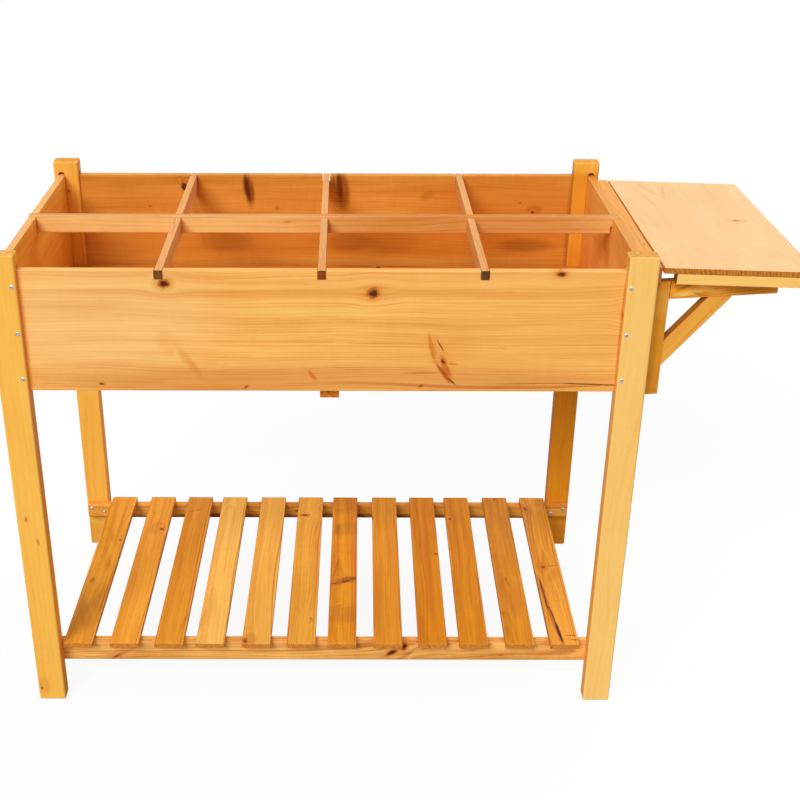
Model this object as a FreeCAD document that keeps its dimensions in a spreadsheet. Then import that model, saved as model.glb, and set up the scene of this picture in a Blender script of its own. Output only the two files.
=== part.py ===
import FreeCAD, Part
import math
import os
import re
import Sketcher

doc = FreeCAD.newDocument("planter")

# driving dimensions, millimetres and degrees
driving = {
    "planter_length": 970,
    "planter_depth": 514,
    "leg_height": 800,
    "leg_width": 44,
    "leg_thickness": 26,
    "edge_ease": 1.2,
    "leg_ease": 3,
    "board_thickness": 12,
    "leg_stand": 25,
    "panel_height": 193,
    "front_inset": 9,
    "end_inset": 7.5,
    "groove_depth": 11,
    "groove_play": 0.4,
    "thin_board": 9,
    "floor_rise": 24,
    "floor_gap": 6,
    "floor_play": 1,
    "bearer_shift": 10.5,
    "bearer_width": 29,
    "bearer_height": 32,
    "cleat_thickness": 18,
    "cleat_height": 28,
    "rail_thickness": 18,
    "rail_height": 36,
    "rail_top": 101,
    "back_rail_thickness": 15,
    "back_rail_height": 30,
    "back_rail_inset": 3,
    "back_rail_ease": 3,
    "slat_width": 48.5,
    "slat_back_inset": 24,
    "slat_overhang": 16,
    "slat_start": 53.5,
    "slat_margin": 42,
    "slat_second_share": 0.35,
    "slat_third_share": 0.6885,
    "slat_skew": 0.7,
    "divider_thickness": 11,
    "divider_height": 29,
    "divider_rise": 3,
    "divider_end_play": 3,
    "divider_set_in": 0.5,
    "lap_play": 0.4,
    "notch_width": 13.5,
    "notch_depth": 14,
    "strip_thickness": 18.5,
    "strip_height": 26,
    "strip_start": 26,
    "leaf_start": 24,
    "leaf_short": 20,
    "leaf_length": 224,
    "leaf_gap": 2,
    "leaf_droop": 1.8,
    "batten_width": 18,
    "batten_height": 16.5,
    "batten_setback": 20,
    "batten_inset": 1,
    "bar_width": 28,
    "bar_thickness": 16,
    "bar_setback": 0.8,
    "bracket_yaw": 8.2,
    "bracket_top_gap": 1,
    "post_below": 18,
    "post_offset": 3.2,
    "front_arm_length": 170,
    "arm_clearance": 6,
    "brace_foot": 48,
    "brace_angle": 47.3,
    "bracket_from_leaf_edge": 27.6,
    "plate_thickness": 1.5,
    "knuckle_radius": 2.4,
    "hinge_offset": 2.7,
    "pin_radius": 1.2,
    "pin_play": 0.05,
    "knuckle_play": 0.3,
    "hinge_length": 48,
    "table_plate_width": 14,
    "table_hinge_inset": 60,
    "bracket_plate_width": 14,
    "bracket_hinge_inset": 18,
    "screw_radius": 1.7,
    "screw_head_radius": 3.2,
    "screw_head_height": 1.2,
    "hinge_screw_radius": 1.1,
    "hinge_screw_head_radius": 2.3,
    "hinge_screw_head_height": 0.6,
    "hinge_screw_inset": 5,
    "screw_play": 0.05,
    "screw_bite": 6,
    "screw_short": 3,
    "cleat_screw_end": 40,
    "strip_screw_end": 30,
    "strip_screw_rise": 5,
    "batten_screw_end": 18,
    "panel_screw_inset": 6.3,
    "panel_screw_edge": 23,
    "rail_screw_outer": 12,
    "rail_screw_inner": 36,
    "rail_screw_high": 8,
    "rail_screw_low": 17,
    "overcut": 1,
}

# positions that follow from the driving dimensions
derived = {
    "panel_top": "leg_height - leg_stand",
    "panel_bottom": "panel_top - panel_height",
    "groove_width": "board_thickness + groove_play",
    "front_face": "front_inset",
    "front_inner": "front_inset + board_thickness",
    "back_inner": "planter_depth - front_inner",
    "back_face": "planter_depth - front_inset",
    "left_outer": "end_inset",
    "left_inner": "end_inset + board_thickness",
    "right_inner": "planter_length - left_inner",
    "right_outer": "planter_length - end_inset",
    "leg_right": "planter_length - leg_width",
    "leg_back": "planter_depth - leg_thickness",
    "long_panel_length": "planter_length - 2 * leg_width + 2 * groove_depth - groove_play",
    "long_panel_start": "leg_width - groove_depth + groove_play / 2",
    "end_panel_length": "planter_depth - 2 * leg_thickness + 2 * groove_depth - groove_play",
    "end_panel_start": "leg_thickness - groove_depth + groove_play / 2",
    "floor_top": "panel_bottom + floor_rise",
    "floor_bottom": "floor_top - thin_board",
    "floor_start": "leg_thickness + floor_play",
    "floor_board_width": "(planter_depth - 2 * floor_start - 3 * floor_gap) / 4",
    "floor_pitch": "floor_board_width + floor_gap",
    "floor_left": "left_inner + floor_play",
    "floor_length": "right_inner - left_inner - 2 * floor_play",
    "middle": "planter_length / 2",
    "bearer_line": "middle + bearer_shift",
    "middle_depth": "planter_depth / 2",
    "rail_bottom": "rail_top - rail_height",
    "back_rail_bottom": "rail_top - back_rail_height",
    "back_rail_length": "planter_length - 2 * back_rail_inset",
    "rail_back": "leg_back - back_rail_thickness",
    "slat_front": "leg_thickness - slat_overhang",
    "slat_pivot": "planter_depth - slat_back_inset",
    "slat_length": "slat_pivot - slat_front",
    "slat_group_pitch": "(planter_length - 2 * slat_margin) / 4",
    "slat_second": "slat_group_pitch * slat_second_share",
    "slat_third": "slat_group_pitch * slat_third_share",
    "slat_lean": "tan(slat_skew * 1deg)",
    "divider_pitch": "(planter_length - 2 * board_thickness) / 4",
    "divider_bottom": "panel_top - divider_height",
    "notch_floor": "panel_top - notch_depth",
    "lap_level": "panel_top - (divider_height + divider_rise) / 2 + divider_rise / 2",
    "long_top": "panel_top + divider_rise",
    "long_bottom": "long_top - divider_height",
    "strip_bottom": "panel_top - strip_height",
    "strip_face": "right_outer + strip_thickness",
    "leaf_width": "planter_depth - 2 * leg_thickness - leaf_short",
    "strip_length": "leaf_start + leaf_width - strip_start",
    "leaf_axis_x": "strip_face + hinge_offset",
    "leaf_axis_z": "panel_top - thin_board - hinge_offset",
    "leaf_edge": "leaf_gap - hinge_offset",
    "leaf_end": "leaf_start + leaf_width",
    "bracket_axis_x": "right_outer + post_offset",
    "bracket_top": "strip_bottom - bracket_top_gap",
    "bracket_bottom": "panel_bottom - post_below",
    "post_length": "bracket_top - bracket_bottom",
    "arm_bottom": "bracket_top - bar_width",
    "front_axis_y": "leaf_start + bracket_from_leaf_edge",
    "back_axis_y": "leaf_end - bracket_from_leaf_edge",
    "bar_back": "-bar_setback",
    "bar_front": "-bar_setback - bar_thickness",
    "post_edge": "post_offset + bar_width",
    "back_arm_length": "back_axis_y - front_axis_y - 2 * post_edge - front_arm_length - arm_clearance",
    "brace_level": "bracket_bottom + brace_foot",
    "brace_rise": "post_length - bar_width - brace_foot",
    "brace_run": "brace_rise / tan(brace_angle * 1deg)",
    "brace_across": "bar_width / sin(brace_angle * 1deg)",
    "brace_up": "bar_width / cos(brace_angle * 1deg)",
    "knuckle": "hinge_length / 3",
    "leaf_reach": "(leaf_edge + leaf_length) * cos(leaf_droop * 1deg)",
    "leaf_lean": "(hinge_offset + thin_board) * sin(leaf_droop * 1deg)",
    "centre_x": "(leaf_axis_x + leaf_reach + leaf_lean) / 2",
    "centre_y": "planter_depth / 2",
}

sheet = doc.addObject("Spreadsheet::Sheet", "Sizes")
row = 0
for name, value in driving.items():
    row += 1
    sheet.set(f"A{row}", name)
    sheet.set(f"B{row}", str(value))
    sheet.setAlias(f"B{row}", name)
for name, formula in derived.items():
    row += 1
    sheet.set(f"A{row}", name)
    sheet.set(f"B{row}", "=" + formula)
    sheet.setAlias(f"B{row}", name)
doc.recompute()

subparts = []


def bound(text):
    return re.sub(r"\b[a-z][a-z0-9_]*\b", lambda word: "Sizes." + word.group(0), str(text))


turns = {
    "+x": "rotation(vector(0; 1; 0); 90)",
    "-x": "rotation(vector(0; 1; 0); -90)",
    "+y": "rotation(vector(1; 0; 0); -90)",
    "-y": "rotation(vector(1; 0; 0); 90)",
    "+z": "rotation(vector(1; 0; 0); 0)",
    "-z": "rotation(vector(1; 0; 0); 180)",
}


# positions are counted from the front left corner of the legs, the part's origin is its base centre
corner = "placement(vector(-Sizes.centre_x; -Sizes.centre_y; 0); rotation(vector(0; 0; 1); 0))"


def place(thing, at, frame=None, towards="+z"):
    x, y, z = [bound(value) for value in at]
    text = f"{corner} * placement(vector({x}; {y}; {z}); {turns[towards]})"
    if frame:
        text = f"{corner} * {frame} * placement(vector({x}; {y}; {z}); {turns[towards]})"
    thing.setExpression("Placement", text)


def keep(thing, label):
    thing.Label = label
    subparts.append(thing)
    return thing


def plane_of(body, role):
    return [item for item in body.Origin.OriginFeatures if item.Role == role][0]


# a straight-sided outline with each corner held at its own distances from the origin
def outline(body, role, corners):
    sketch = body.newObject("Sketcher::SketchObject", "Outline")
    sketch.AttachmentSupport = [(plane_of(body, role), "")]
    sketch.MapMode = "FlatFace"
    count = len(corners)
    turns_of = [2 * math.pi * n / count for n in range(count)]
    rough = [FreeCAD.Vector(10 * math.cos(turn) + 20, 10 * math.sin(turn) + 20, 0) for turn in turns_of]
    for n in range(count):
        sketch.addGeometry(Part.LineSegment(rough[n], rough[(n + 1) % count]), False)
    for n in range(count):
        sketch.addConstraint(Sketcher.Constraint("Coincident", n, 2, (n + 1) % count, 1))
    for n, corner in enumerate(corners):
        for kind, value in zip(("DistanceX", "DistanceY"), corner):
            if value == "0":
                axis = -2 if kind == "DistanceX" else -1
                sketch.addConstraint(Sketcher.Constraint("PointOnObject", n, 1, axis))
            else:
                made = sketch.addConstraint(Sketcher.Constraint(kind, -1, 1, n, 1, 20.0))
                sketch.renameConstraint(made, f"{kind}{n}")
                sketch.setExpression(f"Constraints.{kind}{n}", bound(value))
    return sketch


# a piece of sawn and planed timber with eased edges
def prism(label, role, corners, thickness, at, frame=None, ease="edge_ease"):
    body = doc.addObject("PartDesign::Body", "Board")
    body.Label = label
    pad = body.newObject("PartDesign::Pad", "Thickness")
    pad.Profile = outline(body, role, corners)
    pad.setExpression("Length", bound(thickness))
    rounding = body.newObject("PartDesign::Fillet", "Eased")
    rounding.Base = (pad, [""])
    rounding.UseAllEdges = True
    rounding.setExpression("Radius", bound(ease))
    place(body, at, frame)
    return body


def board(label, at, size, frame=None, ease="edge_ease"):
    corners = [("0", "0"), (size[0], "0"), (size[0], size[1]), ("0", size[1])]
    return prism(label, "XY_Plane", corners, size[2], at, frame, ease)


def box(at, size, frame=None):
    item = doc.addObject("Part::Box", "Cutter")
    item.setExpression("Length", bound(size[0]))
    item.setExpression("Width", bound(size[1]))
    item.setExpression("Height", bound(size[2]))
    place(item, at, frame)
    return item


def rod(at, towards, radius, length, frame=None):
    item = doc.addObject("Part::Cylinder", "Rod")
    item.setExpression("Radius", bound(radius))
    item.setExpression("Height", bound(length))
    place(item, at, frame, towards)
    return item


def cut(label, base, tools):
    item = doc.addObject("Part::Cut", "Shaped")
    item.Base = base
    item.Tool = tools[0] if len(tools) == 1 else bunch(tools)
    base.Label = label + " blank"
    return keep(item, label)


def bunch(items):
    group = doc.addObject("Part::Compound", "Bunch")
    group.Links = items
    return group


def fuse(items):
    item = doc.addObject("Part::MultiFuse", "Joined")
    item.Shapes = items
    return item


# a pan head screw, given by the point where its shank enters and the way it is driven
opposite = {"+x": "-x", "-x": "+x", "+y": "-y", "-y": "+y", "+z": "-z", "-z": "+z"}


def screw(at, towards, length, frame=None, kind="screw"):
    head = rod(at, opposite[towards], kind + "_head_radius", kind + "_head_height", frame)
    shank = rod(at, towards, kind + "_radius", length, frame)
    return fuse([head, shank])


def screw_hole(at, towards, length, frame=None, kind="screw"):
    return rod(at, towards, f"{kind}_radius + screw_play", length, frame)


# fixing points, used by the screws and by the holes they need
panel_screws = {}
for side, x in (("left", "leg_width - panel_screw_inset"), ("right", "leg_right + panel_screw_inset")):
    for end, y, towards in (("front", "0", "+y"), ("back", "planter_depth", "-y")):
        levels = ("panel_bottom + panel_screw_edge", "panel_bottom + panel_height / 2",
                  "panel_top - panel_screw_edge")
        panel_screws[end, side] = [((x, y, level), towards) for level in levels]
panel_screw_length = "front_inset + board_thickness - screw_short"

rail_screws = {}
for side, outer, inner in (
        ("left", "rail_screw_outer", "rail_screw_inner"),
        ("right", "planter_length - rail_screw_outer", "planter_length - rail_screw_inner")):
    for end, y, towards in (("front", "leg_thickness + rail_thickness", "-y"),
                            ("back", "rail_back", "+y")):
        rail_screws[end, side] = [((outer, y, "rail_top - rail_screw_high"), towards),
                                  ((inner, y, "rail_top - rail_screw_low"), towards)]
rail_screw_length = "rail_thickness + leg_thickness / 2"

# legs, each with two stopped grooves that take the ends of two panels
for end in ("front", "back"):
    for side in ("left", "right"):
        x = "0" if side == "left" else "leg_right"
        y = "0" if end == "front" else "leg_back"
        blank = board("leg", (x, y, "0"), ("leg_width", "leg_thickness", "leg_height"), None, "leg_ease")
        groove_x = "leg_width - groove_depth" if side == "left" else "leg_right - overcut"
        groove_y = "front_face" if end == "front" else "back_face - groove_width"
        slot_y = "leg_thickness - groove_depth" if end == "front" else "leg_back - overcut"
        slot_x = "left_outer" if side == "left" else "right_outer - groove_width"
        tools = [
            box((groove_x, groove_y, "panel_bottom"),
                ("groove_depth + overcut", "groove_width", "panel_height")),
            rod((groove_x, f"{groove_y} + groove_width / 2", "panel_top"), "+x",
                "groove_width / 2", "groove_depth + overcut"),
            box((slot_x, slot_y, "panel_bottom"),
                ("groove_width", "groove_depth + overcut", "panel_height")),
            rod((f"{slot_x} + groove_width / 2", slot_y, "panel_top"), "+y",
                "groove_width / 2", "groove_depth + overcut"),
        ]
        for point, towards in panel_screws[end, side]:
            tools.append(screw_hole(point, towards, panel_screw_length))
        for point, towards in rail_screws[end, side]:
            tools.append(screw_hole(point, towards, rail_screw_length))
        cut(f"leg_{end}_{side}", blank, tools)

# front and back panels with open notches for the cross dividers
divider_lines = ["middle - divider_pitch", "middle", "middle + divider_pitch"]
for end in ("front", "back"):
    y = "front_face" if end == "front" else "back_inner"
    blank = board("panel", ("long_panel_start", y, "panel_bottom"),
                  ("long_panel_length", "board_thickness", "panel_height"))
    tools = []
    for line in divider_lines:
        tools.append(box((f"{line} - notch_width / 2", f"{y} - overcut", "notch_floor"),
                         ("notch_width", "board_thickness + 2 * overcut", "notch_depth + overcut")))
    for side in ("left", "right"):
        for point, towards in panel_screws[end, side]:
            tools.append(screw_hole(point, towards, panel_screw_length))
    cut(f"{end}_panel", blank, tools)

# fixing points of the swing bracket hinges, on the panel and on the posts
bracket_hinge_rows = ["bracket_bottom + bracket_hinge_inset",
                      "bracket_top - bracket_hinge_inset - hinge_length"]
hinge_side = {"front": "-1", "back": "1"}
fixed_bracket_screws = {}
moving_bracket_screws = {}
for end in ("front", "back"):
    for z in bracket_hinge_rows:
        screw_y = f"{hinge_side[end]} * (bracket_plate_width - hinge_screw_inset)"
        levels = [f"{z} + hinge_length * {share}" for share in ("1 / 6", "5 / 6")]
        fixed_bracket_screws[end, z] = [
            (("right_outer + plate_thickness", f"{end}_axis_y + {screw_y}", level), "-x") for level in levels]
        moving_bracket_screws[end, z] = [
            (("post_offset - plate_thickness", screw_y, level), "+x") for level in levels]
hinge_screw_length = "plate_thickness + screw_bite"

# end panels with one open notch each for the long divider
cleat_screw_rows = ["floor_start + cleat_screw_end", "middle_depth",
                    "planter_depth - floor_start - cleat_screw_end"]
strip_screw_rows = ["strip_start + strip_screw_end", "strip_start + strip_length / 3",
                    "strip_start + strip_length * 2 / 3", "strip_start + strip_length - strip_screw_end"]
cleat_level = "floor_bottom - cleat_height / 2"
strip_level = "strip_bottom + strip_screw_rise"
cleat_screws = {"left": [], "right": []}
for line in cleat_screw_rows:
    cleat_screws["left"].append((("left_inner + cleat_thickness", line, cleat_level), "-x"))
    cleat_screws["right"].append((("right_inner - cleat_thickness", line, cleat_level), "+x"))
strip_screws = [(("strip_face", line, strip_level), "-x") for line in strip_screw_rows]
cleat_screw_length = "cleat_thickness + board_thickness - screw_short"
strip_screw_length = "strip_thickness + board_thickness - screw_short"
for side in ("left", "right"):
    x = "left_outer" if side == "left" else "right_inner"
    blank = board("panel", (x, "end_panel_start", "panel_bottom"),
                  ("board_thickness", "end_panel_length", "panel_height"))
    tools = [box((f"{x} - overcut", "middle_depth - notch_width / 2", "notch_floor"),
                 ("board_thickness + 2 * overcut", "notch_width", "notch_depth + overcut"))]
    for point, towards in cleat_screws[side]:
        tools.append(screw_hole(point, towards, cleat_screw_length))
    if side == "right":
        for point, towards in strip_screws:
            tools.append(screw_hole(point, towards, strip_screw_length))
        for spots in fixed_bracket_screws.values():
            tools += [screw_hole(*spot, hinge_screw_length, None, "hinge_screw") for spot in spots]
    cut(f"end_panel_{side}", blank, tools)

# floor boards on two end cleats and a middle bearer
floor_screws = []
for index in range(4):
    y = f"floor_start + floor_pitch * {index}"
    point = ("bearer_line", f"{y} + floor_board_width / 2", "floor_bottom - bearer_height")
    floor_screws.append((point, "+z"))
floor_screw_length = "bearer_height + screw_bite"
for index in range(4):
    y = f"floor_start + floor_pitch * {index}"
    blank = board("floor", ("floor_left", y, "floor_bottom"),
                  ("floor_length", "floor_board_width", "thin_board"))
    point, towards = floor_screws[index]
    cut(f"floor_board_{index + 1}", blank, [screw_hole(point, towards, floor_screw_length)])
blank = board("bearer", ("bearer_line - bearer_width / 2", "front_inner", "floor_bottom - bearer_height"),
              ("bearer_width", "back_inner - front_inner", "bearer_height"))
cut("floor_bearer", blank, [screw_hole(*spot, floor_screw_length) for spot in floor_screws])
for side, x in (("left", "left_inner"), ("right", "right_inner - cleat_thickness")):
    blank = board("cleat", (x, "floor_start", "floor_bottom - cleat_height"),
                  ("cleat_thickness", "planter_depth - 2 * floor_start", "cleat_height"))
    cut(f"floor_cleat_{side}", blank, [screw_hole(*spot, cleat_screw_length) for spot in cleat_screws[side]])

# shelf rails on the inner faces of the legs, and twelve slats across them
slat_starts = []
for group in range(4):
    for offset in ("0", "slat_second", "slat_third"):
        slat_starts.append(f"slat_start + slat_group_pitch * {group} + {offset}")
rail_lines = {"front": ("leg_thickness + rail_thickness / 2", "rail_bottom"),
              "back": ("rail_back + back_rail_thickness / 2", "back_rail_bottom")}
slat_screw_lengths = {"front": "rail_height + screw_bite", "back": "back_rail_height + screw_bite"}
slat_screws = {"front": [], "back": []}
for x in slat_starts:
    for end, (y, level) in rail_lines.items():
        shift = f"({y} - slat_pivot) * slat_lean"
        slat_screws[end].append(((f"{x} + slat_width / 2 + {shift}", y, level), "+z"))
rail_blanks = {
    "front": board("rail", ("0", "leg_thickness", "rail_bottom"),
                   ("planter_length", "rail_thickness", "rail_height")),
    "back": board("rail", ("back_rail_inset", "rail_back", "back_rail_bottom"),
                  ("back_rail_length", "back_rail_thickness", "back_rail_height"), None, "back_rail_ease"),
}
for end, blank in rail_blanks.items():
    tools = [screw_hole(*spot, slat_screw_lengths[end]) for spot in slat_screws[end]]
    for side in ("left", "right"):
        tools += [screw_hole(*spot, rail_screw_length) for spot in rail_screws[end, side]]
    cut(f"shelf_rail_{end}", blank, tools)
for index, x in enumerate(slat_starts):
    frame = f"placement(vector({bound(x)}; Sizes.slat_pivot; Sizes.rail_top); " \
            "rotation(vector(0; 0; 1); -Sizes.slat_skew))"
    blank = board("slat", ("0", "-slat_length", "0"), ("slat_width", "slat_length", "thin_board"), frame)
    tools = [screw_hole(*slat_screws[end][index], slat_screw_lengths[end]) for end in slat_screws]
    cut(f"shelf_slat_{index + 1:02d}", blank, tools)

# lift-out grid: one long divider lapped over three cross dividers
blank = board("divider",
              ("left_outer + divider_set_in", "middle_depth - divider_thickness / 2", "long_bottom"),
              ("right_outer - left_outer - 2 * divider_set_in", "divider_thickness", "divider_height"))
tools = []
for x in ("left_outer - overcut", "right_inner - divider_end_play"):
    tools.append(box((x, "middle_depth - divider_thickness", "long_bottom - overcut"),
                     ("board_thickness + divider_end_play + overcut", "2 * divider_thickness",
                      "notch_floor - long_bottom + overcut")))
for line in divider_lines:
    tools.append(box((f"{line} - divider_thickness / 2 - lap_play", "middle_depth - divider_thickness",
                      "long_bottom - overcut"),
                     ("divider_thickness + 2 * lap_play", "2 * divider_thickness",
                      "lap_level - long_bottom + overcut")))
cut("long_divider", blank, tools)
for index, line in enumerate(divider_lines):
    x = f"{line} - divider_thickness / 2"
    blank = board("divider", (x, "front_face", "divider_bottom"),
                  ("divider_thickness", "back_face - front_face", "divider_height"))
    tools = []
    for y in ("front_face - overcut", "back_inner - divider_end_play"):
        tools.append(box((f"{x} - overcut", y, "divider_bottom - overcut"),
                         ("divider_thickness + 2 * overcut", "board_thickness + divider_end_play + overcut",
                          "notch_floor - divider_bottom + overcut")))
    tools.append(box(
        (f"{x} - overcut", "middle_depth - divider_thickness / 2 - lap_play", "lap_level"),
        ("divider_thickness + 2 * overcut", "divider_thickness + 2 * lap_play", "divider_height")))
    cut(f"cross_divider_{index + 1}", blank, tools)

# frames of the moving pieces: the drooping leaf and the two swung brackets
leaf_frame = "placement(vector(Sizes.leaf_axis_x; 0; Sizes.leaf_axis_z); " \
             "rotation(vector(0; 1; 0); Sizes.leaf_droop))"
bracket_frames = {
    "front": "placement(vector(Sizes.bracket_axis_x; Sizes.front_axis_y; 0); "
             "rotation(vector(0; 0; 1); Sizes.bracket_yaw))",
    "back": "placement(vector(Sizes.bracket_axis_x; Sizes.back_axis_y; 0); "
            "rotation(vector(0; 0; 1); -Sizes.bracket_yaw))",
}

# hinge plates: three knuckles round one pin, the middle one on the moving plate
def along(at, towards, distance):
    x, y, z = at
    return (x, f"{y} + {distance}", z) if towards == "+y" else (x, y, f"{z} + {distance}")


def hinge_plate(plate, axis, towards, screws, frame, fixed):
    if fixed:
        barrel = rod(axis, towards, "knuckle_radius", "hinge_length", frame)
        gaps = [rod(along(axis, towards, "knuckle - knuckle_play"), towards,
                    "hinge_offset - knuckle_play / 3", "knuckle + 2 * knuckle_play", frame)]
        bore = rod(along(axis, towards, "-overcut"), towards, "pin_radius",
                   "hinge_length + 2 * overcut", frame)
    else:
        barrel = rod(along(axis, towards, "knuckle"), towards, "knuckle_radius", "knuckle", frame)
        gaps = [rod(along(axis, towards, start), towards, "knuckle_radius + knuckle_play",
                    "knuckle + overcut + knuckle_play", frame)
                for start in ("-overcut", "2 * knuckle - knuckle_play")]
        bore = rod(along(axis, towards, "-overcut"), towards, "pin_radius + pin_play",
                   "hinge_length + 2 * overcut", frame)
    holes = [screw_hole(*spot, hinge_screw_length, frame, "hinge_screw") for spot in screws]
    item = doc.addObject("Part::Cut", "Plate")
    item.Base = fuse([plate, barrel])
    item.Tool = bunch(gaps + [bore] + holes)
    return item


# table hinges, one plate on the strip's outer face and one under the leaf
table_hinge_rows = ["leaf_start + table_hinge_inset", "leaf_end - table_hinge_inset - hinge_length"]
fixed_hinge_screws = []
leaf_hinge_screws = []
fixed_plates = []
leaf_plates = []
for y in table_hinge_rows:
    rows = [f"{y} + hinge_length * {share}" for share in ("1 / 6", "5 / 6")]
    screw_z = "leaf_axis_z - table_plate_width + hinge_screw_inset"
    fixed = [(("strip_face + plate_thickness", row, screw_z), "-x") for row in rows]
    screw_x = "table_plate_width - hinge_screw_inset"
    moving = [((screw_x, row, "hinge_offset - plate_thickness"), "+z") for row in rows]
    fixed_hinge_screws += fixed
    leaf_hinge_screws += moving
    fixed_plates.append(hinge_plate(
        box(("strip_face", y, "leaf_axis_z - table_plate_width"),
            ("plate_thickness", "hinge_length", "table_plate_width")),
        ("leaf_axis_x", y, "leaf_axis_z"), "+y", fixed, None, True))
    leaf_plates.append(hinge_plate(
        box(("0", y, "hinge_offset - plate_thickness"),
            ("table_plate_width", "hinge_length", "plate_thickness"), leaf_frame),
        ("0", y, "0"), "+y", moving, leaf_frame, False))
keep(bunch(fixed_plates), "table_hinge_fixed_plates")
keep(bunch(leaf_plates), "table_hinge_leaf_plates")
keep(bunch([rod(("leaf_axis_x", y, "leaf_axis_z"), "+y", "pin_radius", "hinge_length")
            for y in table_hinge_rows]), "table_hinge_pins")

# hinge strip along the outside of the right end panel
blank = board("strip", ("right_outer", "strip_start", "strip_bottom"),
              ("strip_thickness", "strip_length", "strip_height"))
tools = [screw_hole(*spot, strip_screw_length) for spot in strip_screws]
tools += [screw_hole(*spot, hinge_screw_length, None, "hinge_screw") for spot in fixed_hinge_screws]
cut("hinge_strip", blank, tools)

# table leaf with two battens screwed to its underside
batten_screw_rows = ["batten_screw_end", "(leaf_length - batten_setback) / 2",
                     "leaf_length - batten_setback - batten_screw_end"]
batten_screws = {}
for end, y in (("front", "leaf_start + batten_inset"), ("back", "leaf_end - batten_inset - batten_width")):
    row_y = f"{y} + batten_width / 2"
    batten_screws[end] = [
        ((f"leaf_edge + batten_setback + {distance}", row_y, "hinge_offset - batten_height"), "+z")
        for distance in batten_screw_rows]
batten_screw_length = "batten_height + screw_bite"
blank = board("leaf", ("leaf_edge", "leaf_start", "hinge_offset"),
              ("leaf_length", "leaf_width", "thin_board"), leaf_frame)
tools = [screw_hole(*spot, hinge_screw_length, leaf_frame, "hinge_screw") for spot in leaf_hinge_screws]
for end in ("front", "back"):
    tools += [screw_hole(*spot, batten_screw_length, leaf_frame) for spot in batten_screws[end]]
cut("table_leaf", blank, tools)
for end, y in (("front", "leaf_start + batten_inset"), ("back", "leaf_end - batten_inset - batten_width")):
    blank = board("batten", ("leaf_edge + batten_setback", y, "hinge_offset - batten_height"),
                  ("leaf_length - batten_setback", "batten_width", "batten_height"), leaf_frame)
    cut(f"leaf_batten_{end}", blank,
        [screw_hole(*spot, batten_screw_length, leaf_frame) for spot in batten_screws[end]])

# swing brackets: post, arm and diagonal brace, on two butt hinges each
fixed_bracket_plates = []
bracket_pins = []
for end in ("front", "back"):
    frame = bracket_frames[end]
    axis_y = f"{end}_axis_y"
    plate_y = "-bracket_plate_width" if end == "front" else "0"
    moving_plates = []
    for z in bracket_hinge_rows:
        moving = moving_bracket_screws[end, z]
        fixed = fixed_bracket_screws[end, z]
        moving_plates.append(hinge_plate(
            box(("post_offset - plate_thickness", plate_y, z),
                ("plate_thickness", "bracket_plate_width", "hinge_length"), frame),
            ("0", "0", z), "+z", moving, frame, False))
        fixed_bracket_plates.append(hinge_plate(
            box(("right_outer", f"{axis_y} + {plate_y}", z),
                ("plate_thickness", "bracket_plate_width", "hinge_length")),
            ("bracket_axis_x", axis_y, z), "+z", fixed, None, True))
        bracket_pins.append(rod(("bracket_axis_x", axis_y, z), "+z", "pin_radius", "hinge_length"))
    keep(bunch(moving_plates), f"{end}_bracket_hinge_plates")

    y_low = "bar_front" if end == "front" else "-bar_back"
    y_high = "bar_back" if end == "front" else "-bar_front"
    blank = board("post", ("post_offset", y_low, "bracket_bottom"),
                  ("bar_width", "bar_thickness", "post_length"), frame)
    cut(f"{end}_bracket_post", blank,
        [screw_hole(*spot, hinge_screw_length, frame, "hinge_screw")
         for z in bracket_hinge_rows for spot in moving_bracket_screws[end, z]])
    keep(board("arm", ("post_edge", y_low, "arm_bottom"),
               (f"{end}_arm_length", "bar_thickness", "bar_width"), frame), f"{end}_bracket_arm")
    corners = [("0", "0"), ("brace_run", "brace_rise"), ("brace_run - brace_across", "brace_rise"),
               ("0", "brace_up")]
    brace = prism("brace", "XZ_Plane", corners, "bar_thickness", ("post_edge", y_high, "brace_level"), frame)
    keep(brace, f"{end}_bracket_brace")
keep(bunch(fixed_bracket_plates), "bracket_hinge_fixed_plates")
keep(bunch(bracket_pins), "bracket_hinge_pins")

# screws, one group for each place and length
keep(bunch([screw(*spot, panel_screw_length) for spots in panel_screws.values() for spot in spots]),
     "panel_screws")
keep(bunch([screw(*spot, rail_screw_length) for spots in rail_screws.values() for spot in spots]),
     "rail_screws")
keep(bunch([screw(*spot, slat_screw_lengths[end]) for end in slat_screws for spot in slat_screws[end]]),
     "slat_screws")
keep(bunch([screw(*spot, floor_screw_length) for spot in floor_screws]), "floor_screws")
keep(bunch([screw(*spot, cleat_screw_length) for spots in cleat_screws.values() for spot in spots]
           + [screw(*spot, strip_screw_length) for spot in strip_screws]), "cleat_and_strip_screws")
keep(bunch([screw(*spot, hinge_screw_length, None, "hinge_screw")
            for spots in [fixed_hinge_screws, *fixed_bracket_screws.values()] for spot in spots]),
     "hinge_screws_frame")
keep(bunch([screw(*spot, hinge_screw_length, leaf_frame, "hinge_screw") for spot in leaf_hinge_screws]),
     "hinge_screws_leaf")
keep(bunch([screw(*spot, batten_screw_length, leaf_frame)
            for spots in batten_screws.values() for spot in spots]), "leaf_batten_screws")
for end in ("front", "back"):
    keep(bunch([screw(*spot, hinge_screw_length, bracket_frames[end], "hinge_screw")
                for z in bracket_hinge_rows for spot in moving_bracket_screws[end, z]]),
         f"{end}_bracket_screws")

doc.recompute()
for item in doc.Objects:
    if "Invalid" in item.State or "Error" in item.State:
        raise RuntimeError(f"{item.Label} did not build")
os.makedirs("parts", exist_ok=True)
for item in subparts:
    if item.Shape.isNull() or not item.Shape.isValid() or not item.Shape.Solids:
        raise RuntimeError(f"{item.Label} has no valid shape")
for item in subparts:
    item.Shape.exportStep(f"parts/{item.Label}.step")
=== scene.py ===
import math

import bmesh
import bpy
import numpy as np
from mathutils import Matrix, Vector


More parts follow.
